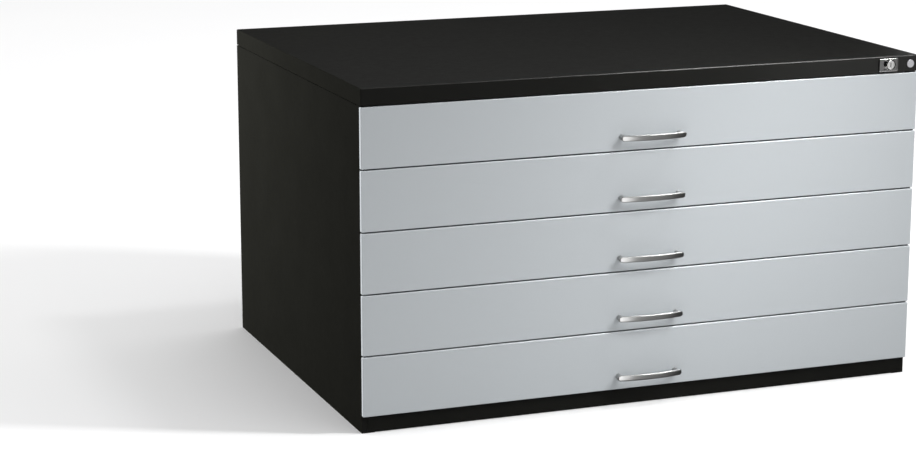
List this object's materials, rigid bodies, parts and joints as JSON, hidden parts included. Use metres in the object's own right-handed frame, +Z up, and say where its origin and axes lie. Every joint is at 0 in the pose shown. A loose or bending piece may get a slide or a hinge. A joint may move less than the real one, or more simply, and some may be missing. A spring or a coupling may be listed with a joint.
{
  "type": "flat file cabinet",
  "caption": "Low wide sheet-steel flat file cabinet with shallow full-width drawers on telescopic slides, bow handles, hood top and one central lock.",
  "frame": {"origin": "centre of the bounding box's base, on the floor", "axes": "+X to the right seen from the front, drawer fronts face -Y, +Z up"},
  "size_m": [1.35, 0.989, 0.76],
  "materials": {
    "carcass_paint": "satin powder coat, black grey",
    "front_paint": "satin powder coat, silver",
    "tray_paint": "satin powder coat, black grey",
    "slide_steel": "bright zinc plate",
    "zinc_steel": "zinc plate",
    "handle_nickel": "satin nickel plate",
    "lock_chrome": "polished chrome plate",
    "badge_aluminium": "satin",
    "foot_plastic": "moulded",
    "guide_plastic": "moulded"
  },
  "bodies": {
    "cabinet": {"left_side_panel": "carcass_paint", "right_side_panel": "carcass_paint", "rear_panel": "carcass_paint", "top_cover": "carcass_paint", "base_panel": "carcass_paint", "plinth_panel": "carcass_paint", "lock_rail": "carcass_paint", "slide_uprights": "zinc_steel", "outer_slides": "slide_steel", "levelling_feet": "foot_plastic", "carcass_fixings": "zinc_steel", "lock_bezel": "lock_chrome", "lock_housing": "zinc_steel", "lock_bar_guides": "guide_plastic", "blank_badge": "badge_aluminium"},
    "lock_cylinder": {"lock_plug": "lock_chrome", "lock_cam": "zinc_steel"},
    "lock_bolt": {"lock_bar": "zinc_steel"},
    "drawer_1": {"drawer_1_front": "front_paint", "drawer_1_tray": "tray_paint", "drawer_1_rear_hood": "tray_paint", "drawer_1_handle": "handle_nickel", "drawer_1_inner_slides": "slide_steel", "drawer_1_fixings": "zinc_steel"},
    "flap_1": {"drawer_1_flap": "tray_paint"},
    "mid_slides_1": {"drawer_1_mid_slides": "slide_steel"},
    "drawer_2": {"drawer_2_front": "front_paint", "drawer_2_tray": "tray_paint", "drawer_2_rear_hood": "tray_paint", "drawer_2_handle": "handle_nickel", "drawer_2_inner_slides": "slide_steel", "drawer_2_fixings": "zinc_steel"},
    "flap_2": {"drawer_2_flap": "tray_paint"},
    "mid_slides_2": {"drawer_2_mid_slides": "slide_steel"},
    "drawer_3": {"drawer_3_front": "front_paint", "drawer_3_tray": "tray_paint", "drawer_3_rear_hood": "tray_paint", "drawer_3_handle": "handle_nickel", "drawer_3_inner_slides": "slide_steel", "drawer_3_fixings": "zinc_steel"},
    "flap_3": {"drawer_3_flap": "tray_paint"},
    "mid_slides_3": {"drawer_3_mid_slides": "slide_steel"},
    "drawer_4": {"drawer_4_front": "front_paint", "drawer_4_tray": "tray_paint", "drawer_4_rear_hood": "tray_paint", "drawer_4_handle": "handle_nickel", "drawer_4_inner_slides": "slide_steel", "drawer_4_fixings": "zinc_steel"},
    "flap_4": {"drawer_4_flap": "tray_paint"},
    "mid_slides_4": {"drawer_4_mid_slides": "slide_steel"},
    "drawer_5": {"drawer_5_front": "front_paint", "drawer_5_tray": "tray_paint", "drawer_5_rear_hood": "tray_paint", "drawer_5_handle": "handle_nickel", "drawer_5_inner_slides": "slide_steel", "drawer_5_fixings": "zinc_steel"},
    "flap_5": {"drawer_5_flap": "tray_paint"},
    "mid_slides_5": {"drawer_5_mid_slides": "slide_steel"}
  },
  "joints": [
    {"name": "lock_turn", "type": "hinge", "parent": "cabinet", "child": "lock_cylinder", "pos_m": [0.6026, -0.4655, 0.74], "axis": [0, 1, 0], "range_deg": [0, 90]},
    {"name": "lock_bar_lift", "type": "slide", "parent": "cabinet", "child": "lock_bolt", "axis": [0, 0, 1], "range_m": [0, 0.01414]},
    {"name": "drawer_1_slide", "type": "slide", "parent": "cabinet", "child": "drawer_1", "axis": [0, -1, 0], "range_m": [0, 0.85]},
    {"name": "mid_slides_1_slide", "type": "slide", "parent": "cabinet", "child": "mid_slides_1", "axis": [0, -1, 0], "range_m": [0, 0.4251]},
    {"name": "flap_1_hinge", "type": "hinge", "parent": "drawer_1", "child": "flap_1", "pos_m": [0, -0.446, 0.6399], "axis": [1, 0, 0], "range_deg": [0, 120]},
    {"name": "drawer_2_slide", "type": "slide", "parent": "cabinet", "child": "drawer_2", "axis": [0, -1, 0], "range_m": [0, 0.85]},
    {"name": "mid_slides_2_slide", "type": "slide", "parent": "cabinet", "child": "mid_slides_2", "axis": [0, -1, 0], "range_m": [0, 0.4251]},
    {"name": "flap_2_hinge", "type": "hinge", "parent": "drawer_2", "child": "flap_2", "pos_m": [0, -0.446, 0.5032], "axis": [1, 0, 0], "range_deg": [0, 120]},
    {"name": "drawer_3_slide", "type": "slide", "parent": "cabinet", "child": "drawer_3", "axis": [0, -1, 0], "range_m": [0, 0.85]},
    {"name": "mid_slides_3_slide", "type": "slide", "parent": "cabinet", "child": "mid_slides_3", "axis": [0, -1, 0], "range_m": [0, 0.4251]},
    {"name": "flap_3_hinge", "type": "hinge", "parent": "drawer_3", "child": "flap_3", "pos_m": [0, -0.446, 0.3665], "axis": [1, 0, 0], "range_deg": [0, 120]},
    {"name": "drawer_4_slide", "type": "slide", "parent": "cabinet", "child": "drawer_4", "axis": [0, -1, 0], "range_m": [0, 0.85]},
    {"name": "mid_slides_4_slide", "type": "slide", "parent": "cabinet", "child": "mid_slides_4", "axis": [0, -1, 0], "range_m": [0, 0.4251]},
    {"name": "flap_4_hinge", "type": "hinge", "parent": "drawer_4", "child": "flap_4", "pos_m": [0, -0.446, 0.2298], "axis": [1, 0, 0], "range_deg": [0, 120]},
    {"name": "drawer_5_slide", "type": "slide", "parent": "cabinet", "child": "drawer_5", "axis": [0, -1, 0], "range_m": [0, 0.85]},
    {"name": "mid_slides_5_slide", "type": "slide", "parent": "cabinet", "child": "mid_slides_5", "axis": [0, -1, 0], "range_m": [0, 0.4251]},
    {"name": "flap_5_hinge", "type": "hinge", "parent": "drawer_5", "child": "flap_5", "pos_m": [0, -0.446, 0.0931], "axis": [1, 0, 0], "range_deg": [0, 120]}
  ],
  "couplings": [
    {"joint": "lock_turn", "follows": "lock_bar_lift", "rad_per_m": 111.07},
    {"joint": "mid_slides_1_slide", "follows": "drawer_1_slide", "ratio": 0.5},
    {"joint": "mid_slides_2_slide", "follows": "drawer_2_slide", "ratio": 0.5},
    {"joint": "mid_slides_3_slide", "follows": "drawer_3_slide", "ratio": 0.5},
    {"joint": "mid_slides_4_slide", "follows": "drawer_4_slide", "ratio": 0.5},
    {"joint": "mid_slides_5_slide", "follows": "drawer_5_slide", "ratio": 0.5}
  ]
}
